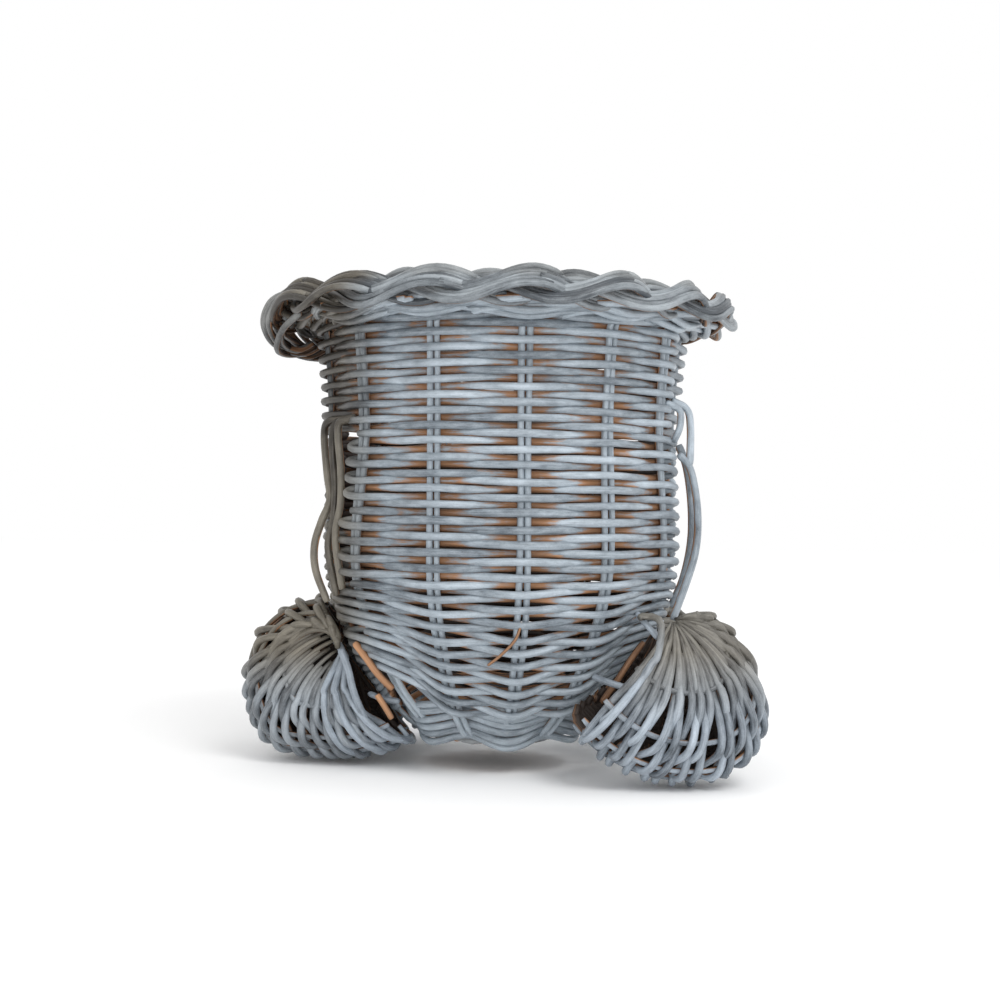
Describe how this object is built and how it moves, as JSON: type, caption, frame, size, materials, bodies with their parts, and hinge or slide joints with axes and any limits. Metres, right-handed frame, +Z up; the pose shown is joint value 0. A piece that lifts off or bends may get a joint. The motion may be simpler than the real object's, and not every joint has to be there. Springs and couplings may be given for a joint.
{
  "type": "planter basket",
  "caption": "Frog-shaped wicker planter basket: a round woven pot with a plaited rim, turned-back side panels, puffed fan-woven feet and a woven muzzle with eyes.",
  "frame": {"origin": "middle of the bounding box, on the ground the four soles stand on", "axes": "+Z up, -Y the pictured back of the frog, +Y its face, +X to the right in the picture"},
  "size_m": [0.3214, 0.3102, 0.2851],
  "materials": {
    "painted_reed": "grey-blue paint with a low sheen over round reed",
    "foot_reed": "darker grey paint over round reed",
    "bare_reed": "unpainted round reed"
  },
  "bodies": {
    "root": {"base": "bare_reed", "stake_pair_01": "painted_reed", "stake_pair_02": "painted_reed", "stake_pair_03": "painted_reed", "stake_pair_04": "painted_reed", "stake_pair_05": "painted_reed", "stake_pair_06": "painted_reed", "stake_pair_07": "painted_reed", "stake_pair_08": "painted_reed", "stake_pair_09": "painted_reed", "stake_pair_10": "painted_reed", "stake_pair_11": "painted_reed", "stake_pair_12": "painted_reed", "stake_pair_13": "painted_reed", "bottom_weave": "painted_reed", "back_panel_reed_1": "painted_reed", "back_panel_reed_2": "painted_reed", "back_panel_reed_3": "painted_reed", "back_panel_reed_4": "painted_reed", "front_panel_reed_1": "painted_reed", "front_panel_reed_2": "painted_reed", "front_panel_reed_3": "painted_reed", "front_panel_reed_4": "painted_reed", "front_panel_reed_5": "painted_reed", "collar_reed_1": "painted_reed", "collar_reed_2": "painted_reed", "border_rod_outer": "painted_reed", "border_rod_inner": "painted_reed", "flank_reed_left_1": "painted_reed", "flank_reed_left_2": "painted_reed", "flank_reed_left_3": "painted_reed", "flank_reed_right_1": "painted_reed", "flank_reed_right_2": "painted_reed", "flank_reed_right_3": "painted_reed", "hind_foot_left": "foot_reed", "hind_foot_left_rod": "bare_reed", "hind_foot_right": "foot_reed", "hind_foot_right_rod": "bare_reed", "front_foot_left": "foot_reed", "front_foot_left_rod": "bare_reed", "front_foot_right": "foot_reed", "front_foot_right_rod": "bare_reed", "muzzle": "painted_reed", "lip_upper": "painted_reed", "lip_lower": "painted_reed", "eye_left": "painted_reed", "eye_right": "painted_reed"}
  },
  "joints": []
}
